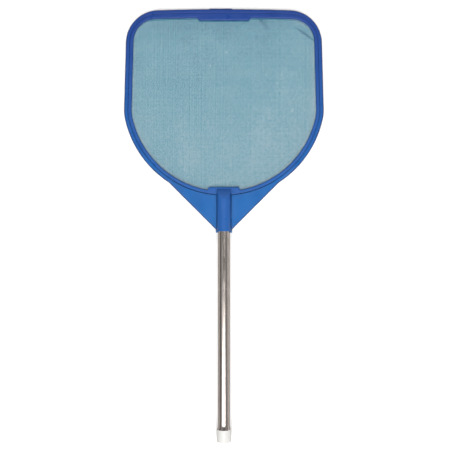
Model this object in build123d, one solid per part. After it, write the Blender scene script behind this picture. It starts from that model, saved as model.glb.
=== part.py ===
from build123d import *
import math
import os

# A leaf skimmer net: a flat D-shaped head that holds a taut mesh, on a short aluminium pole.
# Millimetres. The object lies on its back: +Z is the way the net faces, +Y runs from the pole
# to the head, and the origin is under the middle of the whole object.

# Overall
OVERALL_LENGTH = 707.0
TOP_Y = OVERALL_LENGTH / 2

# Head outline: straight sides on a round base, with rounded top corners under a shallow crown
ARC_RADIUS = 165.2
ARC_CENTRE_Y = TOP_Y - 145.6
SIDE_LOW_HALF = 162.9
SIDE_LOW_Y = TOP_Y - 166.0
SIDE_HIGH_HALF = 160.0
SIDE_HIGH_Y = TOP_Y - 60.0
CROWN_RADIUS = 3300.0
CROWN_DROP = 1.4
CORNER_RADIUS = 53.6
SIDE_BLEND_RADIUS = 60.0
OUTLINE_REACH = 20.0

# Frame section
RIM_WIDTH = 6.4
SEAM_GAP = 0.3
RING_WIDTH = 12.25
TOP_BAR_WIDTH = 14.2
INNER_CORNER_RADIUS = 37.0
FRAME_DEPTH = 12.0
FLANGE_DEPTH = 8.0
MESH_THICKNESS = 0.5
CLAMP_RING_TOP = 12.4
CROWN_FILLET = 2.4
SEAM_FILLET = 0.9
INNER_EDGE_FILLET = 1.8
REAR_CHAMFER = 0.8
MESH_INSET = 7.5

# Tabs that widen the ring where it is screwed together
TOP_TAB_HALF = 42.3
TOP_TAB_REACH = 4.2
BASE_TAB_HALF = 25.7
BASE_TAB_Y = ARC_CENTRE_Y - 145.9
TAB_SLANT = 1.9
TAB_CORNER_RADIUS = 2.2

# Raised lip on the top edge
LIP_X = -5.0
LIP_HALF = 19.5
LIP_HEIGHT = 1.9
LIP_LOW_Z = 2.0
LIP_HIGH_Z = 8.0

# Pole
TUBE_RADIUS = 19.05 / 2
TUBE_WALL = 1.0
TUBE_TOP_Y = TOP_Y - 314.0
TUBE_END_Y = TOP_Y - 685.9
BELL_RADIUS = 10.9
BELL_LENGTH = 9.0
POLE_AXIS_Z = 12.6

# Cap
CAP_RADIUS = 11.75
CAP_ROUNDING = 3.0
CAP_WALL = 2.0
SPIGOT_LENGTH = 22.0
SPIGOT_WALL = 1.6
SPIGOT_LEAD_IN = 1.0
FIT_CLEARANCE = 0.05

# Socket: the rear frame's trough under the front frame's stem
SOCKET_MOUTH_Y = TOP_Y - 366.0
STEM_MOUTH_Y = TOP_Y - 363.7
SOCKET_HALF = 13.15
TROUGH_ROUNDING = 5.0
BORE_RADIUS = 9.9
BORE_END_GAP = 0.4
GRIP_CLEARANCE = 0.035
GRIP_WIDTH = 1.6
REAR_GRIP_ANGLES = (-40, -90, -140)
FRONT_GRIP_ANGLES = (40, 140)
STEM_RADIUS = 11.6
STEM_BASE_Z = 12.05
STEM_EDGE_FILLET = 0.8
STEM_SLOPE_Y = TOP_Y - 315.0
STEM_SLOPE_BULGE = 2.1
STEM_TIP_Y = TOP_Y - 293.9

# Webs that spread the socket into the ring
WEB_JOIN_HALF = 93.2
WEB_JOIN_Y = TOP_Y - 280.8
WEB_BLEND_RADIUS = 8.0
WEB_PLATE = 2.6
SKIRT = 2.2
RIB_THICKNESS = 1.8
RIB_ANGLES = (12.5, 20.5)
GROOVE_WIDTH = 1.1
GROOVE_DEPTH = 2.2
GROOVE_ANGLE = 31.5

# Self-tapping screws, driven from behind
SCREW_TOP_X = 30.0
SCREW_TOP_Y = TOP_Y - 13.8
SCREW_BASE_X = 18.0
SCREW_BASE_Y = ARC_CENTRE_Y - 151.0
SCREW_HEAD_RADIUS = 2.8
SCREW_HEAD_HEIGHT = 2.0
SCREW_RECESS_RADIUS = 3.2
SCREW_RECESS_DEPTH = 2.4
SCREW_CORE_RADIUS = 1.15
SCREW_THREAD_RADIUS = 1.5
SCREW_PITCH = 1.2
SCREW_TIP_Z = 11.4
SCREW_TIP_LENGTH = 1.4
SCREW_CLEAR_RADIUS = 1.7
PILOT_RADIUS = 1.2
DRIVE_WIDTH = 0.8
DRIVE_LENGTH = 3.2
DRIVE_DEPTH = 1.2

# Pegs on the front frame that pin the mesh's edge, through holes in the rear frame's flange
PEG_RADIUS = 1.3
PEG_HOLE_RADIUS = 1.4
PEG_INSET = 9.4
PEG_END_Z = 0.3
PEG_ARC_ANGLES = (17, 30, 43, 56, 69, 82)
PEG_SIDE_RISES = (26, 62)
PEG_TOP_HALVES = (62, 92)


def mirrored(points):
    """Each point and its mirror image across the YZ plane."""
    return [(side * x, y) for x, y in points for side in (-1, 1)]


def cylinder_z(x, y, radius, low, high):
    """A cylinder along Z between two heights."""
    return Pos(x, y, (low + high) / 2) * Cylinder(radius, high - low)


def cylinder_y(radius, low, high):
    """A cylinder along the pole's axis between two stations."""
    return Pos(0, (low + high) / 2, POLE_AXIS_Z) * Rot(90, 0, 0) * Cylinder(radius, high - low)


def block(x_low, x_high, y_low, y_high, z_low, z_high):
    """A box between its lowest and highest corners."""
    centre = Pos((x_low + x_high) / 2, (y_low + y_high) / 2, (z_low + z_high) / 2)
    return centre * Box(x_high - x_low, y_high - y_low, z_high - z_low)


def slab(plan, low, high):
    """A flat plan raised between two heights."""
    return extrude(Pos(0, 0, low) * plan, amount=high - low, dir=(0, 0, 1))


def side_half(y, inset):
    """Half the head's width between its straight sides, drawn in by inset."""
    slope = (SIDE_HIGH_HALF - SIDE_LOW_HALF) / (SIDE_HIGH_Y - SIDE_LOW_Y)
    return SIDE_LOW_HALF + slope * (y - SIDE_LOW_Y) - inset


def head_plan(inset, top_inset, corner_radius):
    """The head's D shape, drawn in by inset round its sides and base and by top_inset at its top."""
    foot = ARC_CENTRE_Y - ARC_RADIUS - OUTLINE_REACH
    head = TOP_Y + OUTLINE_REACH
    wedge = Polygon(
        (-side_half(foot, inset), foot),
        (side_half(foot, inset), foot),
        (side_half(head, inset), head),
        (-side_half(head, inset), head),
        align=None,
    )
    disc = Pos(0, ARC_CENTRE_Y) * Circle(ARC_RADIUS - inset)
    upper = Pos(0, ARC_CENTRE_Y + ARC_RADIUS) * Rectangle(3 * ARC_RADIUS, 2 * ARC_RADIUS)
    crown = CROWN_RADIUS - top_inset
    cap = Pos(0, TOP_Y - CROWN_DROP - CROWN_RADIUS) * Circle(crown)
    plan = wedge & (disc + upper) & cap
    by_height = plan.vertices().group_by(Axis.Y)
    plan = fillet(by_height[-1], corner_radius)
    kinks = plan.vertices().filter_by(lambda v: abs(v.Y - SIDE_LOW_Y) < RING_WIDTH)
    return fillet(kinks, SIDE_BLEND_RADIUS)


def rim_plan():
    """The inside of the outer rim."""
    return head_plan(RIM_WIDTH, RIM_WIDTH, CORNER_RADIUS - RIM_WIDTH)


def opening_plan():
    """The clear opening of the ring, without its two tabs."""
    top_edge = TOP_Y - CROWN_DROP - TOP_BAR_WIDTH
    tab_edge = top_edge - TOP_TAB_REACH
    top_tab = Polygon(
        (-TOP_TAB_HALF + TAB_SLANT, tab_edge),
        (TOP_TAB_HALF - TAB_SLANT, tab_edge),
        (TOP_TAB_HALF + TAB_SLANT + TOP_TAB_REACH, top_edge + TOP_TAB_REACH),
        (-TOP_TAB_HALF - TAB_SLANT - TOP_TAB_REACH, top_edge + TOP_TAB_REACH),
        align=None,
    )
    base_low = ARC_CENTRE_Y - ARC_RADIUS
    base_rise = BASE_TAB_Y - base_low
    base_spread = TAB_SLANT * base_rise / (RING_WIDTH / 2)
    base_tab = Polygon(
        (-BASE_TAB_HALF + TAB_SLANT / 2, BASE_TAB_Y),
        (BASE_TAB_HALF - TAB_SLANT / 2, BASE_TAB_Y),
        (BASE_TAB_HALF + base_spread, base_low),
        (-BASE_TAB_HALF - base_spread, base_low),
        align=None,
    )
    plan = head_plan(RING_WIDTH, TOP_BAR_WIDTH, INNER_CORNER_RADIUS) - top_tab - base_tab
    reach = TOP_TAB_HALF + 2 * TOP_TAB_REACH
    corners = [v for v in plan.vertices() if abs(v.X) < reach]
    return fillet(corners, TAB_CORNER_RADIUS)


def web_half(y):
    """Half the width of the webs, whose outer edges run at 45 degrees."""
    return WEB_JOIN_HALF - (WEB_JOIN_Y - y)


def web_plan():
    """The kite between the socket and the ring."""
    foot = WEB_JOIN_Y - (WEB_JOIN_HALF - SOCKET_HALF)
    return Polygon(
        (-SOCKET_HALF, foot),
        (SOCKET_HALF, foot),
        (WEB_JOIN_HALF, WEB_JOIN_Y),
        (0, ARC_CENTRE_Y),
        (-WEB_JOIN_HALF, WEB_JOIN_Y),
        align=None,
    )


def screw_places():
    """Where the frame's screws go, in the two tabs."""
    return mirrored([(SCREW_TOP_X, SCREW_TOP_Y), (SCREW_BASE_X, SCREW_BASE_Y)])


def peg_places():
    """Where the front frame's pegs go, down the middle of the clamping ring."""
    radius = ARC_RADIUS - PEG_INSET
    angles = [math.radians(a) for a in PEG_ARC_ANGLES]
    arc = [(radius * math.sin(a), ARC_CENTRE_Y - radius * math.cos(a)) for a in angles]
    heights = [ARC_CENTRE_Y + rise for rise in PEG_SIDE_RISES]
    sides = [(side_half(y, PEG_INSET), y) for y in heights]
    bar_y = TOP_Y - CROWN_DROP - (RIM_WIDTH + TOP_BAR_WIDTH) / 2
    top = [(x, bar_y - x * x / (2 * CROWN_RADIUS)) for x in PEG_TOP_HALVES]
    return mirrored(arc + sides + top)


def grips(angles, low, high):
    """Crush ribs along the socket's bore, at these angles from +X towards +Z."""
    inner = TUBE_RADIUS + GRIP_CLEARANCE
    ribs = Part()
    for angle in angles:
        rib = block(inner, BORE_RADIUS + GRIP_WIDTH, low, high, -GRIP_WIDTH / 2, GRIP_WIDTH / 2)
        ribs += Pos(0, 0, POLE_AXIS_Z) * Rot(0, -angle, 0) * rib
    return ribs - cylinder_y(inner, low, high)


def rear_ribs():
    """Stiffening ribs under the webs, spreading from the arc's centre line."""
    ribs = Part()
    depth = FRAME_DEPTH - WEB_PLATE
    for angle in mirrored([(a, 0) for a in RIB_ANGLES]):
        length = 2 * ARC_RADIUS
        bar = block(-RIB_THICKNESS / 2, RIB_THICKNESS / 2, -length, 0, 0, depth)
        ribs += Pos(0, ARC_CENTRE_Y, 0) * Rot(0, 0, angle[0]) * bar
    return ribs


def web_pocket():
    """The hollow behind the webs, inside their skirts."""
    reach = SKIRT * math.sqrt(2)
    foot = SOCKET_MOUTH_Y + SKIRT
    plan = Polygon(
        (-web_half(foot) + reach, foot),
        (web_half(foot) - reach, foot),
        (WEB_JOIN_HALF - reach, WEB_JOIN_Y),
        (-WEB_JOIN_HALF + reach, WEB_JOIN_Y),
        align=None,
    )
    return slab(plan - head_plan(0, 0, CORNER_RADIUS), 0, FRAME_DEPTH - WEB_PLATE)


def web_band(outer_width, inner_width):
    """A band round the clamping ring's edge, as long as the ring borders the webs."""
    radius = ARC_RADIUS - RIM_WIDTH
    reach = 2 * ARC_RADIUS
    spread = reach * math.tan(math.radians(GROOVE_ANGLE))
    sector = Polygon((0, 0), (-spread, -reach), (spread, -reach), align=None)
    ring = Circle(radius + outer_width) - Circle(radius - inner_width)
    return Pos(0, ARC_CENTRE_Y) * (ring & sector)


def seam_land():
    """The flat land of the webs beside the groove, where they have no rounded edge."""
    return slab(web_band(SEAM_FILLET, 0), FRAME_DEPTH - WEB_PLATE, FRAME_DEPTH)


def seam_groove():
    """The groove round the clamping ring's edge and down both sides of the stem."""
    band = web_band(GROOVE_WIDTH, GROOVE_WIDTH)
    high = ARC_CENTRE_Y - ARC_RADIUS + RIM_WIDTH
    for side in (-1, 1):
        centre = Pos(side * (STEM_RADIUS + GROOVE_WIDTH / 2), (STEM_MOUTH_Y + high) / 2)
        band += centre * Rectangle(GROOVE_WIDTH, high - STEM_MOUTH_Y)
    return slab(band, FRAME_DEPTH - GROOVE_DEPTH, 2 * FRAME_DEPTH)


def trough():
    """The rear half of the pole's socket, rounded along its back."""
    head = ARC_CENTRE_Y - ARC_RADIUS + RIM_WIDTH / 2
    body = block(-SOCKET_HALF, SOCKET_HALF, SOCKET_MOUTH_Y, head, 0, FRAME_DEPTH)
    return fillet(body.edges().filter_by(Axis.Y).group_by(Axis.Z)[0], TROUGH_ROUNDING)


def rear_frame():
    """The outer rim, the flange behind the mesh, the webs and the socket's trough, in one moulding."""
    plan = head_plan(0, 0, CORNER_RADIUS) + web_plan() - rim_plan()
    join = Vector(WEB_JOIN_HALF, WEB_JOIN_Y)
    joins = [v for v in plan.vertices() if (Vector(abs(v.X), v.Y) - join).length < RING_WIDTH]
    plan = fillet(joins, WEB_BLEND_RADIUS)
    body = slab(plan, 0, FRAME_DEPTH)
    body = fillet(body.faces().sort_by(Axis.Z)[-1].outer_wire().edges(), CROWN_FILLET)
    body = fillet(body.faces().sort_by(Axis.Z)[-1].inner_wires()[0].edges(), SEAM_FILLET)
    body = chamfer(body.faces().sort_by(Axis.Z)[0].outer_wire().edges(), REAR_CHAMFER)
    body -= web_pocket() - rear_ribs()
    body += slab(rim_plan() - opening_plan(), 0, FLANGE_DEPTH)
    body += trough()
    body += seam_land()
    bore_end = TUBE_TOP_Y + BORE_END_GAP
    body -= cylinder_y(BORE_RADIUS, SOCKET_MOUTH_Y, bore_end)
    body += grips(REAR_GRIP_ANGLES, SOCKET_MOUTH_Y, bore_end)
    body -= seam_groove()
    lip_foot = TOP_Y - 2 * CROWN_FILLET
    lip = block(LIP_X - LIP_HALF, LIP_X + LIP_HALF, lip_foot, TOP_Y, LIP_LOW_Z, LIP_HIGH_Z)
    lip = fillet(lip.edges().filter_by(Axis.Z).group_by(Axis.Y)[-1], LIP_HEIGHT)
    body += lip
    for x, y in screw_places():
        body -= cylinder_z(x, y, SCREW_RECESS_RADIUS, 0, SCREW_RECESS_DEPTH)
        body -= cylinder_z(x, y, SCREW_CLEAR_RADIUS, 0, FLANGE_DEPTH)
    for x, y in peg_places():
        body -= cylinder_z(x, y, PEG_HOLE_RADIUS, 0, FLANGE_DEPTH)
    return body


def above_slope():
    """The space over the curved slope that brings the stem's top down to the ring."""
    crest = POLE_AXIS_Z + STEM_RADIUS
    start = Vector(STEM_SLOPE_Y, crest)
    tip = Vector(STEM_TIP_Y, STEM_BASE_Z)
    chord = tip - start
    bulge = Vector(-chord.Y, chord.X).normalized() * STEM_SLOPE_BULGE
    slope = ThreePointArc(start, (start + tip) * 0.5 + bulge, tip)
    far_y = STEM_TIP_Y + STEM_RADIUS
    far_z = crest + STEM_RADIUS
    rest = Polyline(tip, (far_y, STEM_BASE_Z), (far_y, far_z), (STEM_SLOPE_Y, far_z), start)
    return extrude(Plane.YZ * make_face(slope + rest), amount=2 * STEM_RADIUS, both=True)


def stem():
    """The front half of the pole's socket, whose top slopes down to the ring at its end."""
    crest = POLE_AXIS_Z + STEM_RADIUS
    outer = cylinder_y(STEM_RADIUS, STEM_MOUTH_Y, STEM_TIP_Y)
    outer &= block(-STEM_RADIUS, STEM_RADIUS, STEM_MOUTH_Y, STEM_TIP_Y, STEM_BASE_Z, crest)
    outer -= above_slope()
    mouth = outer.edges().filter_by(GeomType.CIRCLE).group_by(Axis.Y)[0]
    outer = fillet(mouth, STEM_EDGE_FILLET)
    bore_end = TUBE_TOP_Y + BORE_END_GAP
    outer -= cylinder_y(BORE_RADIUS, STEM_MOUTH_Y, bore_end)
    return outer + grips(FRONT_GRIP_ANGLES, STEM_MOUTH_Y, bore_end)


def front_frame():
    """The clamping ring with its tabs, pegs and stem, in one moulding."""
    base = FLANGE_DEPTH + MESH_THICKNESS
    inset = RIM_WIDTH + SEAM_GAP
    ring = head_plan(inset, inset, CORNER_RADIUS - inset) - opening_plan()
    body = slab(ring, base, CLAMP_RING_TOP)
    top = body.faces().sort_by(Axis.Z)[-1]
    body = fillet(top.outer_wire().edges(), SEAM_FILLET)
    top = body.faces().sort_by(Axis.Z)[-1]
    body = fillet(top.inner_wires()[0].edges(), INNER_EDGE_FILLET)
    body += stem()
    for x, y in screw_places():
        body -= cylinder_z(x, y, PILOT_RADIUS, base, SCREW_TIP_Z)
    for x, y in peg_places():
        body += cylinder_z(x, y, PEG_RADIUS, PEG_END_Z, base)
    return body


def net_mesh():
    """The mesh's flat sheet, clamped between the two frames and pierced by pegs and screws."""
    body = slab(
        head_plan(MESH_INSET, MESH_INSET, CORNER_RADIUS - MESH_INSET),
        FLANGE_DEPTH,
        FLANGE_DEPTH + MESH_THICKNESS,
    )
    for x, y in screw_places():
        body -= cylinder_z(x, y, SCREW_CLEAR_RADIUS, FLANGE_DEPTH, FLANGE_DEPTH + MESH_THICKNESS)
    for x, y in peg_places():
        body -= cylinder_z(x, y, PEG_HOLE_RADIUS, FLANGE_DEPTH, FLANGE_DEPTH + MESH_THICKNESS)
    return body


def screw():
    """One self-tapping screw, head down, with its head's seat at height zero."""
    head = cylinder_z(0, 0, SCREW_HEAD_RADIUS, -SCREW_HEAD_HEIGHT, 0)
    head = fillet(head.edges().group_by(Axis.Z)[0], SCREW_HEAD_HEIGHT / 3)
    cross = Rectangle(DRIVE_LENGTH, DRIVE_WIDTH) + Rectangle(DRIVE_WIDTH, DRIVE_LENGTH)
    head -= slab(cross, -SCREW_HEAD_HEIGHT, DRIVE_DEPTH - SCREW_HEAD_HEIGHT)
    length = SCREW_TIP_Z - SCREW_RECESS_DEPTH
    body = head + cylinder_z(0, 0, SCREW_CORE_RADIUS, 0, length - SCREW_TIP_LENGTH)
    tip = Cone(SCREW_CORE_RADIUS, SCREW_CORE_RADIUS / 4, SCREW_TIP_LENGTH)
    body += Pos(0, 0, length - SCREW_TIP_LENGTH / 2) * tip
    turns = int((length - SCREW_TIP_LENGTH) / SCREW_PITCH)
    rise = SCREW_PITCH / 3
    for turn in range(1, turns + 1):
        thread = Cone(SCREW_THREAD_RADIUS, SCREW_CORE_RADIUS, rise)
        flank = Cone(SCREW_CORE_RADIUS, SCREW_THREAD_RADIUS, rise)
        body += Pos(0, 0, turn * SCREW_PITCH + rise / 2) * thread
        body += Pos(0, 0, turn * SCREW_PITCH - rise / 2) * flank
    return body


def frame_screws():
    """The four screws that draw the two frames together."""
    return Compound(children=[Pos(x, y, SCREW_RECESS_DEPTH) * screw() for x, y in screw_places()])


def pole_tube():
    """The drawn aluminium tube, with its lower end belled out by the cap."""
    inner = TUBE_RADIUS - TUBE_WALL
    bell = BELL_RADIUS - TUBE_RADIUS
    bell_top = TUBE_END_Y + BELL_LENGTH
    outline = [(TUBE_RADIUS, TUBE_TOP_Y), (TUBE_RADIUS, bell_top)]
    outside = Line(*outline)
    flare = Spline(
        (TUBE_RADIUS, bell_top),
        (BELL_RADIUS, TUBE_END_Y),
        tangents=[(0, -1), (bell, -BELL_LENGTH / 2)],
    )
    end = Line((BELL_RADIUS, TUBE_END_Y), (BELL_RADIUS - TUBE_WALL, TUBE_END_Y))
    back = Spline(
        (BELL_RADIUS - TUBE_WALL, TUBE_END_Y),
        (inner, bell_top),
        tangents=[(-bell, BELL_LENGTH / 2), (0, 1)],
    )
    bore = Line((inner, bell_top), (inner, TUBE_TOP_Y))
    lid = Line((inner, TUBE_TOP_Y), (TUBE_RADIUS, TUBE_TOP_Y))
    section = make_face(outside + flare + end + back + bore + lid)
    return Pos(0, 0, POLE_AXIS_Z) * revolve(section, Axis.Y)


def pole_end_cap():
    """The plastic cap: a hollow round-ended head outside the tube and a plain spigot inside it."""
    cap_low = -OVERALL_LENGTH / 2
    head = cylinder_y(CAP_RADIUS, cap_low, TUBE_END_Y)
    rims = head.edges().group_by(Axis.Y)
    head = fillet(rims[0], CAP_ROUNDING)
    spigot_radius = TUBE_RADIUS - TUBE_WALL - FIT_CLEARANCE
    spigot_top = TUBE_END_Y + SPIGOT_LENGTH
    spigot = cylinder_y(spigot_radius, TUBE_END_Y, spigot_top)
    spigot = chamfer(spigot.edges().group_by(Axis.Y)[-1], SPIGOT_LEAD_IN)
    cavity = cylinder_y(spigot_radius - SPIGOT_WALL, cap_low + CAP_WALL, spigot_top)
    return head + spigot - cavity


NODES = {
    "rear_frame": rear_frame,
    "front_frame": front_frame,
    "net_mesh": net_mesh,
    "frame_screws": frame_screws,
    "pole_tube": pole_tube,
    "pole_end_cap": pole_end_cap,
}

os.makedirs("parts", exist_ok=True)
for node, make in NODES.items():
    export_step(make(), f"parts/{node}.step")
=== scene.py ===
import bpy
import math

import numpy as np
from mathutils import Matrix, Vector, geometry


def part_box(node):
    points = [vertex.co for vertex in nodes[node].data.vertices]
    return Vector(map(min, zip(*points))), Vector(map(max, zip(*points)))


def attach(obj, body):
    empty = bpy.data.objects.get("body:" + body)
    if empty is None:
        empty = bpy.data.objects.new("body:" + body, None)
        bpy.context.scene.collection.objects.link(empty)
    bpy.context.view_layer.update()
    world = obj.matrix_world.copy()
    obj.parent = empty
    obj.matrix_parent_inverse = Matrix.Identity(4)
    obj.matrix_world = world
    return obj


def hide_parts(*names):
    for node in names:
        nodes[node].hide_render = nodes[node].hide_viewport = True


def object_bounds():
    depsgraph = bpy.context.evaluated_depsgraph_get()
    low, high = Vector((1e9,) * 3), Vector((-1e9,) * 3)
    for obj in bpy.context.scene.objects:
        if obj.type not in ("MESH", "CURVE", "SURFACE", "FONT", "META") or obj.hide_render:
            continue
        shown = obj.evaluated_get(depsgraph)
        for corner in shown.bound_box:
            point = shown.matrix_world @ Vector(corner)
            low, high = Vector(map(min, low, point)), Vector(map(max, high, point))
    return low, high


# The looks of a leaf skimmer net: moulded blue frames, a woven mesh held taut between them,
# a drawn aluminium pole and a white plastic cap. Metres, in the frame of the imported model.

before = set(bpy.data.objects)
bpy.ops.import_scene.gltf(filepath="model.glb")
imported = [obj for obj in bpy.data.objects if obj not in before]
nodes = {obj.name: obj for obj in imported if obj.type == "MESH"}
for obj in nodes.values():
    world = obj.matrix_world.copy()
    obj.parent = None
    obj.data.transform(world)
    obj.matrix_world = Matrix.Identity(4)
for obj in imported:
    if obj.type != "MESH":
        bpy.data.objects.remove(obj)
cad_low, cad_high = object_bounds()

# Where things are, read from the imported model
MESH_LOW, MESH_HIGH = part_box("net_mesh")
MESH_MIDDLE = (MESH_LOW + MESH_HIGH) / 2
MESH_HALF = (MESH_HIGH - MESH_LOW) / 2
MESH_Z = (MESH_LOW.z + MESH_HIGH.z) / 2
TUBE_LOW, TUBE_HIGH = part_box("pole_tube")
TUBE_Z = (TUBE_LOW.z + TUBE_HIGH.z) / 2

# Points closer than this count as one
SAME_PLACE = 1e-6

# The weave, whose warp is most even at the right
PITCH = 0.0013
THREAD_WIDTH = 0.0006
THREAD_LIFT = 0.00014
THREAD_ROUNDNESS = 0.75
EDGE_MARGIN = 0.0022
WARP_JITTER = 0.08
RIGHT_EVENNESS = 0.35
WEFT_JITTER = 0.012
WIDTH_JITTER = 0.045
SEED = 11

# How far threads bow in the plane. The warp bows in waves down and across the sheet, the weft in
# waves down it. The weft also sways, by a share of that and in waves across and down
BOW = 0.0009
WARP_BOW = (5.2, 2.1)
WEFT_BOW = 3.1
WEFT_SWAY = (0.4, 8.5, 3)

# How far the sheet sags, and how high its ripples stand. Across, they have waves, a wander and
# that wander's bends; down, waves and a lean; and the second ones a share, waves and a lean
SAG = 0.0009
RIPPLE = 0.00018
RIPPLE_ACROSS = (31, 5, 2.3)
RIPPLE_DOWN = (9, 2)
RIPPLE_SECOND = (0.7, 17, 6)

# Paleness of the threads towards the sides, more at the right side than at the left; painted light
# towards the handle and along the ring's edge; and how much each thread's own paleness varies
PALENESS_BY_SIDES = 0.2
SIDES_STEEPNESS = 3
SIDES_EVENNESS = 3
PAINTED_LIGHT_BY_HANDLE = 0.31
PAINTED_LIGHT_BY_RING = 0.75
RING_INSET = 0.0052
PAINTED_RING_LIGHT_REACH = 0.0022
THREAD_TINT = 0.03

# Creases pulled in by the clamp near the head, where threads gather: start and end from the
# mesh's top centre, height of the ridge and its half width
CREASES = (
    ((0.0510, -0.0005), (0.0745, -0.0260), 0.0003, 0.0036),
    ((0.1150, -0.0210), (0.1520, -0.0465), 0.0006, 0.0027),
)
CREASE_BLUNTNESS = 3
CREASE_FREE = 0.003
CREASE_GATHER = 0.25
# Painted shade along the creases, for each metre of ridge height
CREASE_SHADE = 1450

# Gaps that push threads apart, painted light round them: columns and rows from the mesh's centre
GAPS = ((3, 65.5), (-17, 48.5), (86, -8.5))
GAP_REACH = 0.0015
GAP_PUSH = 0.0003
GAP_PAINTED_LIGHT = 3.0

# Linear base colours
# The frames' blue is painted darker at the head and paler by the pole: painted shade and painted
# light
BLUE_HEAD_SHADED = (0.0135, 0.0425, 0.2, 1)
BLUE_WEBS_LIT = (0.0105, 0.102, 0.325, 1)
BLUE_STEM_LIT = (0.0165, 0.090, 0.308, 1)
BLUE_WORN = (0.10, 0.24, 0.46, 1)
BLUE_DEEP = (0.004, 0.026, 0.14, 1)
# Painted shade for the frames' outward flanks and groove walls
BLUE_FLANK_SHADE = (0.001, 0.008, 0.07, 1)
THREAD_TEAL = (0.085, 0.283, 0.365, 1)
THREAD_PALE = (0.33, 0.455, 0.515, 1)
# Painted shade, in creases and between strands
THREAD_SHADE = (0.006, 0.10, 0.19, 1)
ALUMINIUM_WARM = (0.52, 0.47, 0.44, 1)
ALUMINIUM_DULL = (0.40, 0.355, 0.33, 1)
ALUMINIUM_GRAZED = (0.3, 0.27, 0.25, 1)
CAP_WHITE = (0.60, 0.60, 0.587, 1)
CAP_GREY = (0.49, 0.49, 0.475, 1)
ZINC = (0.62, 0.62, 0.63, 1)
ZINC_DARK = (0.34, 0.34, 0.36, 1)
FLOOR_WHITE = (0.90, 0.90, 0.90, 1)
FLOOR_PALE = (0.885, 0.885, 0.89, 1)
FLOOR_MIRRORED = (0.53, 0.515, 0.50, 1)
SKY_LIT = (1.0, 0.995, 0.985, 1)
SKY_SEEN = (1, 1, 1, 1)

# In the looks that follow, a noise is the size of its features, its detail, its roughness and
# its stretch; a range runs from two values to two others, or to 0 and 1; scratches are their
# size, thinness and turn in degrees, in patches so many times their size; an edge is how far
# wear on the blue, and painted shade on the cap, reaches from it and how sharp it has to be; and a
# depth is a bump's
NOISE_MIDDLE = 0.5
NOISE_DETAIL = 3.0
NOISE_ROUGHNESS = 0.55
EDGE_SAMPLES = 6
SCRATCH_LINES = (0.0, 0.4, (1.0, 0.045, 0.1))
SCRATCH_PATCH_SIZE = 24
SCRATCH_PATCH_DETAIL = 1.0
SCRATCH_PATCH_RANGE = (0.5, 0.66)

# Moulded blue polypropylene. Flanks get painted shade: where it starts and ends, by the height of
# their normals, and how dark it gets
REAR_FLANK_SHADE = (0.985, 0.85, 0.85)
FRONT_FLANK_SHADE = (0.6, 0.1, 0.5)
FLANK_REACH = 0.004
# Painted light: the blue pales from the head's top to this place along it, by the pole
BLUE_LIT_BY_POLE_Y = 0.045
BLUE_FLOW = (0.05, 4.0, 0.6, (1.0, 0.6, 1.0))
BLUE_FLOW_RANGE = (0.42, 0.75, 0.0, 0.3)
BLUE_EDGE = (0.0011, 0.16)
BLUE_WEAR = 0.006
BLUE_WEAR_RANGE = (0.42, 0.7)
BLUE_WEAR_MOST = 0.38
BLUE_SCUFFS = (0.0011, 0.02, 34)
BLUE_SCUFFS_MOST = 0.16
BLUE_SCUFFS_DEPTH = -0.00001
BLUE_GLOSS = (0.018, 4.0)
BLUE_GLOSS_RANGE = (0.3, 0.72, 0.27, 0.42)
BLUE_MARKED_ROUGHNESS = 0.5
BLUE_SPECULAR = 0.22
BLUE_WAVES = (0.03, 2.0)
BLUE_WAVES_DEPTH = 0.0004
BLUE_GRAIN = (0.00055, 2.0)
BLUE_GRAIN_DEPTH = 0.000012

# Twisted nylon thread, whose strands lean across it and come round twice between crossings, and
# painted shade between its strands
STRAND_LEAN = 0.6
STRAND_WAVES = 4 * math.pi
STRAND_SHADE_RANGE = (-1.0, 1.0, 0.0, 0.22)
STRAND_ROUGHNESS_RANGE = (-1.0, 1.0, 0.55, 0.42)
STRAND_DEPTH = 0.00002
RESIDUE_CLOUDS = (0.045, 4.0, 0.62)
RESIDUE_RANGE = (0.44, 0.72, 0.0, 0.26)
SPECKS = (0.0022, 2.0)
SPECKS_RANGE = (0.66, 0.78, 0.0, 0.5)
MOTTLE = (0.0042, 3.0)
MOTTLE_RANGE = (0.35, 0.65, -0.25, 0.25)
PAINTED_SHADE_AND_MOTTLE_RANGE = (-0.08, -0.58, 0.0, 0.6)
THREAD_SPECULAR = 0.35

# Drawn aluminium
TUBE_LINES = (0.00045, 3.0, 0.6, (1.0, 0.012, 1.0))
TUBE_LINES_RANGE = (0.4, 0.7, 0.0, 0.3)
TUBE_LINES_DEPTH = 0.000004
TUBE_BANDS = (0.0026, 3.0, 0.6, (1.0, 0.03, 1.0))
TUBE_BANDS_ROUGHNESS_RANGE = (0.35, 0.7, 0.13, 0.22)
TUBE_BANDS_DEPTH = 0.00003
TUBE_BLOOM = (0.02, 5.0, 0.65)
TUBE_BLOOM_RANGE = (0.45, 0.75, 0.0, 0.7)
TUBE_BLOOM_ROUGHNESS = 0.1
TUBE_MARKS = (0.0009, 0.008, 78)
TUBE_MARKS_ROUGHNESS = 0.2
TUBE_MARKS_DEPTH = -0.000003

# White polyethylene
CAP_GRIME = (0.008, 5.0, 0.65)
CAP_GRIME_RANGE = (0.46, 0.78, 0.0, 0.5)
# Painted shade along the cap's rounded edges, and how dark it gets
CAP_EDGE = (0.0009, 0.2)
CAP_EDGE_SHADE_MOST = 0.25
CAP_GLOSS = 0.004
CAP_GLOSS_RANGE = (0.3, 0.7, 0.42, 0.58)
CAP_GLOW = 0.12
CAP_GLOW_RADIUS = (0.0015, 0.0015, 0.0014)
CAP_GRAIN = (0.0007, 2.0)
CAP_GRAIN_DEPTH = 0.00002

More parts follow.
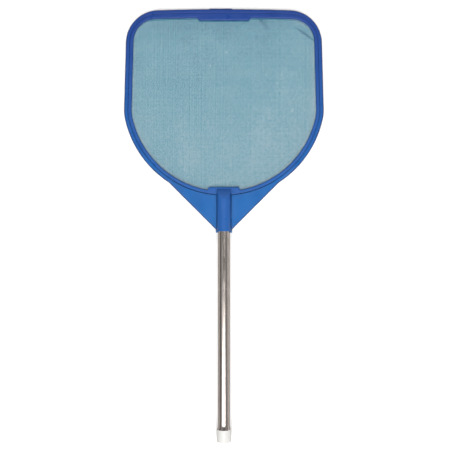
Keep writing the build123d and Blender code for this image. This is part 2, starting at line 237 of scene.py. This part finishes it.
# Zinc-plated steel
ZINC_MOTTLE = (0.0009, 4.0)
ZINC_MOTTLE_RANGE = (0.4, 0.7)
ZINC_ROUGHNESS_RANGE = (0.0, 1.0, 0.28, 0.5)
ZINC_GRAIN = 0.0003
ZINC_GRAIN_DEPTH = 0.00001

# Floor
FLOOR_HALF = 30.0
FLOOR_MOTTLE = (0.12, 4.0)
FLOOR_ROUGHNESS = 0.9
FLOOR_SPECULAR = 0.1

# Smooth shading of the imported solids
CORNER_ANGLE = 32
NORMAL_WEIGHT = 50

# The studio's light, as radiance, and the ceiling window's edges as tilts from overhead
HANDLE_LIGHT = 1.1
HEAD_LIGHT = 0.9
RIGHT_LIGHT = 1.3
SIDE_LIGHT = 0.25
ROOM_LIGHT = 0.14
SEEN_LIGHT = 1.05
WINDOW_LIGHT = 8.5
WINDOW_NEAR = (4.5, 15)
WINDOW_FAR = (32, 42)
WINDOW_LEFT = (40, 6)
WINDOW_RIGHT = (28, 17)

# Where each light fades in: by heading, and by height from the horizon at 0 to overhead at 1
HANDLE_HEADINGS = (-0.25, -0.8)
HEAD_HEADINGS = (0.25, 0.8)
SIDE_HEADINGS = (0.3, 0.9)
END_FOOT = (0.02, 0.3)
END_TOP = (0.93, 0.8)
RIGHT_TOP = (0.34, 0.06)
SIDE_FOOT = (0.35, 0.6)
SIDE_TOP = (0.97, 0.85)
LEAST_DIVISOR = 0.001

# Camera
CAMERA_HEIGHT = 1.25
CAMERA_SPAN = 0.7326
CAMERA_X = 0.0018
CAMERA_Y = 0.0
SENSOR = 36.0


# Shader graphs


def join(tree, socket, value):
    """Sets an input to a value, or joins it to another node's output."""
    if isinstance(value, bpy.types.NodeSocket):
        tree.links.new(value, socket)
    else:
        socket.default_value = value


def set_inputs(tree, made, inputs):
    """Sets a node's inputs to values, or joins them to other nodes' outputs."""
    for name, value in inputs.items():
        join(tree, made.inputs[name], value)


def add(tree, kind, inputs=None, **settings):
    """A new node of this kind, with these inputs and settings."""
    made = tree.nodes.new("ShaderNode" + kind)
    for name, value in settings.items():
        setattr(made, name, value)
    set_inputs(tree, made, inputs or {})
    return made


def new_material(name):
    """A material with one Principled shader: its tree, the shader and its object coordinates."""
    material = bpy.data.materials.new(name)
    material.use_nodes = True
    tree = material.node_tree
    tree.nodes.clear()
    shader = add(tree, "BsdfPrincipled")
    add(tree, "OutputMaterial", {"Surface": shader.outputs["BSDF"]})
    place = add(tree, "TexCoord").outputs["Object"]
    return material, tree, shader, place


def maths(tree, operation, first, second=0.0):
    """One sum on two values."""
    return add(tree, "Math", {0: first, 1: second}, operation=operation).outputs[0]


def plus(tree, first, *others):
    """Values added together."""
    for other in others:
        first = maths(tree, "ADD", first, other)
    return first


def times(tree, first, *others):
    """Values multiplied together."""
    for other in others:
        first = maths(tree, "MULTIPLY", first, other)
    return first


def vector_maths(tree, operation, first, second, result="Vector"):
    """One sum on two vectors."""
    made = add(tree, "VectorMath", {0: first, 1: second}, operation=operation)
    return made.outputs[result]


def noise(tree, place, size, detail=NOISE_DETAIL, roughness=NOISE_ROUGHNESS, stretch=None):
    """Cloudy values about their middle, with features of this size in metres, and a stretch."""
    if stretch is not None:
        place = vector_maths(tree, "MULTIPLY", place, stretch)
    inputs = {"Vector": place, "Scale": 1 / size, "Detail": detail, "Roughness": roughness}
    return add(tree, "TexNoise", inputs).outputs["Fac"]


def ramp(tree, value, low, high, to_low=0.0, to_high=1.0):
    """The value carried from one range to another, smoothly and held inside it."""
    inputs = {"Value": value, "From Min": low, "From Max": high}
    inputs.update({"To Min": to_low, "To Max": to_high})
    return add(tree, "MapRange", inputs, interpolation_type="SMOOTHSTEP").outputs["Result"]


def blend_colours(tree, factor, first, second):
    """A mix of two colours."""
    made = add(tree, "Mix", {0: factor}, data_type="RGBA")
    colours = [socket for socket in made.inputs if socket.type == "RGBA"]
    join(tree, colours[0], first)
    join(tree, colours[1], second)
    return next(socket for socket in made.outputs if socket.type == "RGBA")


def bump(tree, height, distance, below=None):
    """A bump of this depth in metres, on top of another."""
    inputs = {"Height": height, "Distance": distance, "Strength": 1.0}
    if below is not None:
        inputs["Normal"] = below
    return add(tree, "Bump", inputs).outputs["Normal"]


def edge_mask(tree, radius, sharpness):
    """Near 1 along the edges of a part and 0 on its faces."""
    rounded = add(tree, "Bevel", {"Radius": radius}, samples=EDGE_SAMPLES).outputs["Normal"]
    flat = add(tree, "NewGeometry").outputs["Normal"]
    agree = vector_maths(tree, "DOT_PRODUCT", rounded, flat, "Value")
    return ramp(tree, agree, 1.0, 1.0 - sharpness)


def scratches(tree, place, size, thin, turn):
    """Fine broken lines at an angle: 1 on a line and 0 off it."""
    inputs = {"Vector": place, "Rotation": (0, 0, math.radians(turn))}
    turned = add(tree, "Mapping", inputs).outputs[0]
    lines = noise(tree, turned, size, *SCRATCH_LINES)
    patches = noise(tree, place, SCRATCH_PATCH_SIZE * size, SCRATCH_PATCH_DETAIL)
    ridge = maths(tree, "ABSOLUTE", maths(tree, "SUBTRACT", lines, NOISE_MIDDLE))
    return times(tree, ramp(tree, ridge, thin, 0.0), ramp(tree, patches, *SCRATCH_PATCH_RANGE))


# Materials


def outward_flank_shade(tree, place, start, end, most):
    """Painted shade that rises to its most on walls that face away from the middle of the head.

    The rise starts and ends at these heights of their normals, which are 1 on a level face.
    """
    facing = add(tree, "TexCoord").outputs["Normal"]
    upright = maths(tree, "ABSOLUTE", add(tree, "SeparateXYZ", {0: facing}).outputs["Z"])
    outward = vector_maths(tree, "SUBTRACT", place, tuple(MESH_MIDDLE))
    outward = vector_maths(tree, "MULTIPLY", outward, (1.0, 1.0, 0.0))
    outward = vector_maths(tree, "DOT_PRODUCT", outward, facing, "Value")
    flank = ramp(tree, upright, start, end, 0.0, most)
    return times(tree, flank, ramp(tree, outward, 0.0, FLANK_REACH))


def moulded_blue(name, lit_by_pole, flank_shade):
    """Gloss-moulded polypropylene: deep blue with painted light towards the pole and painted shade
    on its flanks, scuffed along its edges.
    """
    material, tree, shader, place = new_material(name)
    along = add(tree, "SeparateXYZ", {0: place}).outputs["Y"]
    # Painted light, paler towards the pole
    span = {"Value": along, "From Min": cad_high.y, "From Max": BLUE_LIT_BY_POLE_Y}
    lit_towards_pole = add(tree, "MapRange", span).outputs["Result"]
    colour = blend_colours(tree, lit_towards_pole, BLUE_HEAD_SHADED, lit_by_pole)
    flow = ramp(tree, noise(tree, place, *BLUE_FLOW), *BLUE_FLOW_RANGE)
    colour = blend_colours(tree, flow, colour, BLUE_DEEP)
    # Painted shade on the outward flanks
    colour = blend_colours(tree, outward_flank_shade(tree, place, *flank_shade), colour, BLUE_FLANK_SHADE)
    wear_and_edge_shade = ramp(tree, noise(tree, place, BLUE_WEAR), *BLUE_WEAR_RANGE)
    wear_and_edge_shade = times(tree, edge_mask(tree, *BLUE_EDGE), wear_and_edge_shade, BLUE_WEAR_MOST)
    scuffs = scratches(tree, place, *BLUE_SCUFFS)
    marks_and_edge_shade = maths(tree, "MAXIMUM", wear_and_edge_shade, times(tree, scuffs, BLUE_SCUFFS_MOST))
    gloss = ramp(tree, noise(tree, place, *BLUE_GLOSS), *BLUE_GLOSS_RANGE)
    normal = bump(tree, noise(tree, place, *BLUE_WAVES), BLUE_WAVES_DEPTH)
    normal = bump(tree, noise(tree, place, *BLUE_GRAIN), BLUE_GRAIN_DEPTH, normal)
    looks = {
        "Base Color": blend_colours(tree, marks_and_edge_shade, colour, BLUE_WORN),
        "Roughness": plus(tree, gloss, times(tree, marks_and_edge_shade, BLUE_MARKED_ROUGHNESS)),
        "Specular IOR Level": BLUE_SPECULAR,
        "Normal": bump(tree, scuffs, BLUE_SCUFFS_DEPTH, normal),
    }
    set_inputs(tree, shader, looks)
    return material


def woven_teal():
    """Twisted nylon thread: teal, paler or darker at random and towards the sides, with painted
    light towards the handle, along the ring and round gaps, and painted shade in creases and
    between strands.
    """
    material, tree, shader, place = new_material("woven_teal")
    tint = add(tree, "Attribute", attribute_name="tint").outputs["Fac"]
    thread = add(tree, "UVMap", uv_map="thread").outputs["UV"]
    parts = add(tree, "SeparateXYZ", {0: thread}).outputs
    turn = plus(tree, times(tree, parts["X"], STRAND_LEAN), parts["Y"])
    strands = maths(tree, "SINE", times(tree, turn, STRAND_WAVES))
    thread_paleness = ramp(tree, noise(tree, place, *RESIDUE_CLOUDS), *RESIDUE_RANGE)
    specks = ramp(tree, noise(tree, place, *SPECKS), *SPECKS_RANGE)
    mottle = ramp(tree, noise(tree, place, *MOTTLE), *MOTTLE_RANGE)
    pale = plus(tree, thread_paleness, mottle, specks, tint)
    colour = blend_colours(tree, pale, THREAD_TEAL, THREAD_PALE)
    # Painted shade along creases, and the dark side of the mottle
    painted_shade_and_mottle = ramp(tree, pale, *PAINTED_SHADE_AND_MOTTLE_RANGE)
    # Painted shade between strands is added to it
    shade = plus(tree, painted_shade_and_mottle, ramp(tree, strands, *STRAND_SHADE_RANGE))
    looks = {
        "Base Color": blend_colours(tree, shade, colour, THREAD_SHADE),
        "Roughness": ramp(tree, strands, *STRAND_ROUGHNESS_RANGE),
        "Specular IOR Level": THREAD_SPECULAR,
        "Normal": bump(tree, strands, STRAND_DEPTH),
    }
    set_inputs(tree, shader, looks)
    return material


def drawn_aluminium():
    """Drawn tube: warm grey metal with fine lines along it and a few handling marks."""
    material, tree, shader, place = new_material("drawn_aluminium")
    lines = noise(tree, place, *TUBE_LINES)
    bands = noise(tree, place, *TUBE_BANDS)
    dull = ramp(tree, noise(tree, place, *TUBE_BLOOM), *TUBE_BLOOM_RANGE)
    marks = scratches(tree, place, *TUBE_MARKS)
    streaked = plus(tree, dull, ramp(tree, lines, *TUBE_LINES_RANGE))
    rough = ramp(tree, bands, *TUBE_BANDS_ROUGHNESS_RANGE)
    rough = plus(tree, rough, times(tree, dull, TUBE_BLOOM_ROUGHNESS))
    normal = bump(tree, bands, TUBE_BANDS_DEPTH)
    normal = bump(tree, lines, TUBE_LINES_DEPTH, normal)
    looks = {
        "Base Color": blend_colours(tree, streaked, ALUMINIUM_WARM, ALUMINIUM_DULL),
        "Roughness": plus(tree, rough, times(tree, marks, TUBE_MARKS_ROUGHNESS)),
        "Metallic": 1.0,
        "Specular Tint": ALUMINIUM_GRAZED,
        "Normal": bump(tree, marks, TUBE_MARKS_DEPTH, normal),
    }
    set_inputs(tree, shader, looks)
    return material


def cap_white():
    """White polyethylene, matte from its mould, faintly grey with grime, and with painted shade
    along its edges.
    """
    material, tree, shader, place = new_material("cap_white")
    grime = ramp(tree, noise(tree, place, *CAP_GRIME), *CAP_GRIME_RANGE)
    # Painted shade along the edges
    wear_and_edge_shade = times(tree, edge_mask(tree, *CAP_EDGE), CAP_EDGE_SHADE_MOST)
    marks_and_edge_shade = maths(tree, "MAXIMUM", grime, wear_and_edge_shade)
    looks = {
        "Base Color": blend_colours(tree, marks_and_edge_shade, CAP_WHITE, CAP_GREY),
        "Roughness": ramp(tree, noise(tree, place, CAP_GLOSS), *CAP_GLOSS_RANGE),
        "Subsurface Weight": CAP_GLOW,
        "Subsurface Radius": CAP_GLOW_RADIUS,
        "Subsurface Scale": 1.0,
        "Normal": bump(tree, noise(tree, place, *CAP_GRAIN), CAP_GRAIN_DEPTH),
    }
    set_inputs(tree, shader, looks)
    return material


def zinc_steel():
    """Zinc-plated steel, mottled, for the screws."""
    material, tree, shader, place = new_material("zinc_steel")
    mottle = ramp(tree, noise(tree, place, *ZINC_MOTTLE), *ZINC_MOTTLE_RANGE)
    looks = {
        "Base Color": blend_colours(tree, mottle, ZINC, ZINC_DARK),
        "Roughness": ramp(tree, mottle, *ZINC_ROUGHNESS_RANGE),
        "Metallic": 1.0,
        "Normal": bump(tree, noise(tree, place, ZINC_GRAIN), ZINC_GRAIN_DEPTH),
    }
    set_inputs(tree, shader, looks)
    return material


def floor_paint():
    """A plain pale studio floor with a barely visible mottle, which the object sees as greyer."""
    material, tree, shader, place = new_material("floor_paint")
    colour = blend_colours(tree, noise(tree, place, *FLOOR_MOTTLE), FLOOR_WHITE, FLOOR_PALE)
    camera_ray = add(tree, "LightPath").outputs["Is Camera Ray"]
    looks = {
        "Base Color": blend_colours(tree, camera_ray, FLOOR_MIRRORED, colour),
        "Roughness": FLOOR_ROUGHNESS,
        "Specular IOR Level": FLOOR_SPECULAR,
    }
    set_inputs(tree, shader, looks)
    return material


# The mesh


def mesh_outline():
    """The convex outline of the clamped sheet, as corners in order."""
    points = [vertex.co.to_2d() for vertex in nodes["net_mesh"].data.vertices]
    return np.array([points[i] for i in geometry.convex_hull_2d(points)])


def edge_distance(outline, x, y):
    """How far inside a convex outline each place lies."""
    after = np.roll(outline, -1, axis=0)
    middle = outline.mean(axis=0)
    nearest = np.full(x.shape, np.inf)
    for start, end in zip(outline, after):
        edge = end - start
        length = float(np.hypot(*edge))
        if length < SAME_PLACE:
            continue
        normal = np.array((-edge[1], edge[0])) / length
        normal *= math.copysign(1, float(normal @ (middle - start)))
        nearest = np.minimum(nearest, (x - start[0]) * normal[0] + (y - start[1]) * normal[1])
    return nearest


def on_sheet(x, y):
    """Each place as shares of the sheet's half width and half length, from its middle."""
    return (x - MESH_MIDDLE.x) / MESH_HALF.x, (y - MESH_MIDDLE.y) / MESH_HALF.y


def crease_place(x, y, start, end, half_width):
    """How close each place is to a crease, from 1 to 0, its distance aside and the crease's way."""
    middle = (MESH_LOW.x + MESH_HIGH.x) / 2
    base = np.array((middle + start[0], MESH_HIGH.y + start[1]))
    line = np.array((middle + end[0], MESH_HIGH.y + end[1])) - base
    length = float(np.hypot(*line))
    line /= length
    along = ((x - base[0]) * line[0] + (y - base[1]) * line[1]) / length
    aside = (x - base[0]) * line[1] - (y - base[1]) * line[0]
    fade = np.clip(1 - np.abs(2 * along - 1) ** CREASE_BLUNTNESS, 0, 1)
    fade *= (along > 0) & (along < 1)
    return fade * np.exp(-((aside / half_width) ** 2)), aside, line


def sheet_height(x, y, depth):
    """How far the taut sheet stands from its plane: a shallow sag, soft ripples and creases."""
    u, v = on_sheet(x, y)
    held = np.clip((1 - u ** 2) * (1 - v ** 2), 0, 1)
    height = -SAG * held
    waves, wander, bends = RIPPLE_ACROSS
    rows, lean = RIPPLE_DOWN
    ripples = np.sin(waves * u + wander * np.sin(bends * v)) * np.cos(rows * v + lean * u)
    share, rows, lean = RIPPLE_SECOND
    ripples += share * np.sin(rows * v - lean * u * v)
    height += RIPPLE * ripples * np.sqrt(held)
    for start, end, rise, half_width in CREASES:
        near, _, _ = crease_place(x, y, start, end, half_width)
        height += rise * near * np.clip((depth - RING_INSET) / CREASE_FREE, 0, 1)
    return height


def painted_light_and_paleness(x, y, depth):
    """How pale each crossing is: towards the sides, with painted light by the ring and the handle,
    painted shade along creases and painted light round gaps.
    """
    u, v = on_sheet(x, y)
    amount = PALENESS_BY_SIDES * (np.abs(u) ** SIDES_STEEPNESS + u / SIDES_EVENNESS)
    # Painted light towards the handle and in a band along the ring
    amount -= PAINTED_LIGHT_BY_HANDLE * v
    amount += PAINTED_LIGHT_BY_RING * np.exp(-np.abs(depth - RING_INSET) / PAINTED_RING_LIGHT_REACH)
    for start, end, rise, half_width in CREASES:
        near, _, _ = crease_place(x, y, start, end, half_width)
        amount -= CREASE_SHADE * rise * near
    # Painted light round the gaps
    for column, row in GAPS:
        away = np.hypot(x - MESH_MIDDLE.x - column * PITCH, y - MESH_MIDDLE.y - row * PITCH)
        amount += GAP_PAINTED_LIGHT * np.exp(-((away / GAP_REACH) ** 2))
    return amount


def bowed(x, y):
    """Crossings moved as the threads bow and sway in the plane."""
    u = (x - MESH_MIDDLE.x) / (MESH_HIGH.x - MESH_LOW.x)
    v = (y - MESH_MIDDLE.y) / (MESH_HIGH.y - MESH_LOW.y)
    held = 1 - 4 * u ** 2
    share, across, down = WEFT_SWAY
    sway = share * BOW * np.sin(across * u + down * v)
    bowed_x = x + BOW * np.sin(WARP_BOW[0] * v + WARP_BOW[1] * u) * held
    bowed_y = y - BOW * held * np.cos(WEFT_BOW * v) + sway
    return bowed_x, bowed_y


def crossing_places(random):
    """Where every warp thread would cross every weft thread, in the plane."""
    columns = int((MESH_HIGH.x - MESH_LOW.x) / PITCH) - 1
    rows = int((MESH_HIGH.y - MESH_LOW.y) / PITCH) - 1
    column = np.arange(columns) - (columns - 1) / 2
    row = np.arange(rows) - (rows - 1) / 2
    x_line = MESH_MIDDLE.x + column * PITCH
    y_line = MESH_MIDDLE.y + row * PITCH
    quarters = (MESH_MIDDLE.x - MESH_HALF.x / 2, MESH_MIDDLE.x + MESH_HALF.x / 2)
    evenness = np.interp(x_line, quarters, (1, RIGHT_EVENNESS))
    x_line += random.normal(0, WARP_JITTER * PITCH, columns) * evenness
    y_line += random.normal(0, WEFT_JITTER * PITCH, rows)
    x, y = bowed(*np.meshgrid(x_line, y_line, indexing="ij"))
    for start, end, _, half_width in CREASES:
        near, aside, line = crease_place(x, y, start, end, half_width)
        pull = CREASE_GATHER * near * aside
        x -= pull * line[1]
        y += pull * line[0]
    for gap_column, gap_row in GAPS:
        away_x = (column[:, None] - gap_column) * PITCH
        away_y = (row[None, :] - gap_row) * PITCH
        near = np.exp(-(away_x ** 2 + away_y ** 2) / GAP_REACH ** 2)
        x += GAP_PUSH * near * np.sign(away_x)
        y += GAP_PUSH * near * np.sign(away_y)
    return x, y


def ribbons(x, y, z, kept, widths, tints, lift_sign):
    """Threads down the second axis of a grid of crossings, as ribbons with rounded shading.

    Gives the vertices, their normals, the quads, each vertex's place across and along its
    thread, and its tint.
    """
    line = np.stack([x, y, z], axis=-1)
    line[..., 2] += THREAD_LIFT * lift_sign
    ahead = np.gradient(line, axis=1)
    ahead /= np.linalg.norm(ahead, axis=-1, keepdims=True)
    side = np.cross(ahead, (0.0, 0.0, 1.0))
    side /= np.linalg.norm(side, axis=-1, keepdims=True)
    up = np.cross(side, ahead)
    tilt = THREAD_ROUNDNESS * side
    reach = side * widths[:, None, None] / 2
    vertices = np.stack([line - reach, line + reach], axis=2)
    normals = np.stack([up - tilt, up + tilt], axis=2)
    normals /= np.linalg.norm(normals, axis=-1, keepdims=True)
    count, steps = x.shape
    shape = (count, steps, 2)
    number = np.arange(count * steps * 2).reshape(shape)
    here, there = number[:, :-1], number[:, 1:]
    joined = kept[:, :-1] & kept[:, 1:]
    corners = [here[..., 0], here[..., 1], there[..., 1], there[..., 0]]
    quads = np.stack(corners, axis=-1)[joined]
    across = np.broadcast_to(np.array((0.0, 1.0)), shape)
    along = np.broadcast_to(np.arange(steps)[None, :, None], shape).astype(float)
    places = np.stack([across, along], axis=-1).reshape(-1, 2)
    shades = np.broadcast_to(tints[:, :, None], shape).reshape(-1)
    return vertices.reshape(-1, 3), normals.reshape(-1, 3), quads, places, shades


def weave_mesh(vertices, normals, quads, places, shades):
    """A mesh of the quads and the vertices they use, with places along threads and tints."""
    used, quads = np.unique(quads, return_inverse=True)
    quads = quads.reshape(-1, 4)
    mesh = bpy.data.meshes.new("net_weave")
    mesh.vertices.add(len(used))
    mesh.vertices.foreach_set("co", vertices[used].astype(np.float32).ravel())
    mesh.loops.add(quads.size)
    mesh.loops.foreach_set("vertex_index", quads.astype(np.int32).ravel())
    mesh.polygons.add(len(quads))
    mesh.polygons.foreach_set("loop_start", np.arange(0, quads.size, 4, dtype=np.int32))
    mesh.polygons.foreach_set("use_smooth", np.ones(len(quads), bool))
    layer = mesh.uv_layers.new(name="thread")
    layer.uv.foreach_set("vector", places[used][quads.ravel()].astype(np.float32).ravel())
    tint = mesh.attributes.new("tint", "FLOAT", "POINT")
    tint.data.foreach_set("value", shades[used].astype(np.float32))
    mesh.update(calc_edges=True)
    mesh.normals_split_custom_set_from_vertices(normals[used].astype(np.float32))
    return mesh


def woven_net():
    """The mesh as woven threads, warp and weft passing over and under each other in turn."""
    random = np.random.default_rng(SEED)
    outline = mesh_outline()
    x, y = crossing_places(random)
    depth = edge_distance(outline, x, y)
    z = MESH_Z + sheet_height(x, y, depth)
    kept = depth > EDGE_MARGIN
    columns, rows = x.shape
    over = np.where(np.add.outer(np.arange(columns), np.arange(rows)) % 2 == 0, 1.0, -1.0)
    widths = THREAD_WIDTH * (1 + random.normal(0, WIDTH_JITTER, columns + rows))
    tints = random.normal(0, THREAD_TINT, columns + rows)
    thread_paleness = painted_light_and_paleness(x, y, depth)
    warp_tints = tints[:columns, None] + thread_paleness
    weft_tints = tints[columns:, None] + thread_paleness.T
    warp = ribbons(x, y, z, kept, widths[:columns], warp_tints, over)
    weft = ribbons(x.T, y.T, z.T, kept.T, widths[columns:], weft_tints, -over.T)
    vertices, normals, _, places, shades = map(np.concatenate, zip(warp, weft))
    quads = np.concatenate([warp[2], weft[2] + len(warp[0])])
    mesh = weave_mesh(vertices, normals, quads, places, shades)
    net = bpy.data.objects.new("net_weave", mesh)
    bpy.context.scene.collection.objects.link(net)
    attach(net, "head")
    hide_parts("net_mesh")
    return net


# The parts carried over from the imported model


def smooth_part(part):
    """Shades a part smoothly across its rounded edges, and keeps its sharper corners."""
    part.data.polygons.foreach_set("use_smooth", np.ones(len(part.data.polygons), bool))
    weld = part.modifiers.new("weld", "WELD")
    weld.merge_threshold = SAME_PLACE
    split = part.modifiers.new("split", "EDGE_SPLIT")
    split.split_angle = math.radians(CORNER_ANGLE)
    weighted = part.modifiers.new("weighted", "WEIGHTED_NORMAL")
    weighted.mode = "FACE_AREA"
    weighted.weight = NORMAL_WEIGHT


def finish_part(name, material):
    """Gives a part its material and its smooth shading."""
    part = nodes[name]
    part.data.materials.clear()
    part.data.materials.append(material)
    smooth_part(part)


# The studio


def slope_ramp(tree, slope, tilts, most=1.0):
    """Rises from 0 to its most as a slope goes from one tilt to the other, in degrees."""
    dark, lit = (math.tan(math.radians(tilt)) for tilt in tilts)
    return ramp(tree, slope, dark, lit, 0.0, most)


def wall_light(tree, way):
    """Broad light from both ends, a low glow from the right and a dim one from both sides."""
    level = maths(tree, "SQRT", maths(tree, "SUBTRACT", 1.0, times(tree, way["Z"], way["Z"])))
    level = maths(tree, "MAXIMUM", level, LEAST_DIVISOR)
    heading = maths(tree, "DIVIDE", way["Y"], level)
    sideways = maths(tree, "DIVIDE", way["X"], level)
    handle_end = ramp(tree, heading, *HANDLE_HEADINGS, 0.0, HANDLE_LIGHT)
    head_end = ramp(tree, heading, *HEAD_HEADINGS, 0.0, HEAD_LIGHT)
    band = times(tree, ramp(tree, way["Z"], *END_TOP), ramp(tree, way["Z"], *END_FOOT))
    ends = times(tree, plus(tree, handle_end, head_end), band)
    right = ramp(tree, sideways, *SIDE_HEADINGS, 0.0, RIGHT_LIGHT)
    right = times(tree, ramp(tree, way["Z"], *RIGHT_TOP), right)
    band = times(tree, ramp(tree, way["Z"], *SIDE_FOOT), ramp(tree, way["Z"], *SIDE_TOP))
    both_sides = maths(tree, "ABSOLUTE", sideways)
    both_sides = times(tree, band, ramp(tree, both_sides, *SIDE_HEADINGS, 0.0, SIDE_LIGHT))
    return plus(tree, ends, both_sides, right)


def window_light(tree, way):
    """One small high window towards the handle, soft at its edges."""
    height = maths(tree, "MAXIMUM", way["Z"], LEAST_DIVISOR)
    back = maths(tree, "DIVIDE", times(tree, way["Y"], -1.0), height)
    aside = maths(tree, "DIVIDE", way["X"], height)
    near = slope_ramp(tree, back, WINDOW_NEAR, WINDOW_LIGHT)
    far = slope_ramp(tree, back, WINDOW_FAR[::-1])
    right = slope_ramp(tree, aside, WINDOW_RIGHT)
    left = slope_ramp(tree, times(tree, aside, -1.0), WINDOW_LEFT)
    return times(tree, near, far, right, left)


def studio_sky():
    """White where the camera sees it, and a softly lit studio with one window to the object."""
    world = bpy.data.worlds.new("studio")
    bpy.context.scene.world = world
    world.use_nodes = True
    tree = world.node_tree
    tree.nodes.clear()
    way = add(tree, "SeparateXYZ", {0: add(tree, "TexCoord").outputs["Generated"]}).outputs
    light = plus(tree, wall_light(tree, way), ROOM_LIGHT, window_light(tree, way))
    lit = add(tree, "Background", {"Color": SKY_LIT, "Strength": light}).outputs[0]
    seen = add(tree, "Background", {"Color": SKY_SEEN, "Strength": SEEN_LIGHT}).outputs[0]
    camera_ray = add(tree, "LightPath").outputs["Is Camera Ray"]
    both = add(tree, "MixShader", {0: camera_ray, 1: lit, 2: seen}).outputs[0]
    add(tree, "OutputWorld", {"Surface": both})


def studio_floor():
    """A floor far larger than any view of the object needs."""
    half = FLOOR_HALF
    corners = [(-half, -half, 0), (half, -half, 0), (half, half, 0), (-half, half, 0)]
    mesh = bpy.data.meshes.new("studio_floor")
    mesh.from_pydata(corners, [], [(0, 1, 2, 3)])
    mesh.materials.append(floor_paint())
    floor = bpy.data.objects.new("studio_floor", mesh)
    bpy.context.scene.collection.objects.link(floor)


def straight_down_camera():
    """A camera over the middle of the object, with the head at the top of its view."""
    data = bpy.data.cameras.new("camera")
    data.sensor_width = SENSOR
    data.lens = SENSOR * CAMERA_HEIGHT / CAMERA_SPAN
    camera = bpy.data.objects.new("camera", data)
    camera.location = (CAMERA_X, CAMERA_Y, TUBE_Z + CAMERA_HEIGHT)
    bpy.context.scene.collection.objects.link(camera)
    bpy.context.scene.camera = camera


finish_part("rear_frame", moulded_blue("moulded_blue_rear", BLUE_WEBS_LIT, REAR_FLANK_SHADE))
finish_part("front_frame", moulded_blue("moulded_blue_front", BLUE_STEM_LIT, FRONT_FLANK_SHADE))
finish_part("frame_screws", zinc_steel())
finish_part("pole_tube", drawn_aluminium())
finish_part("pole_end_cap", cap_white())

net = woven_net()
net.data.materials.append(woven_teal())

studio_sky()
studio_floor()
straight_down_camera()
bpy.context.scene.view_settings.view_transform = "Standard"
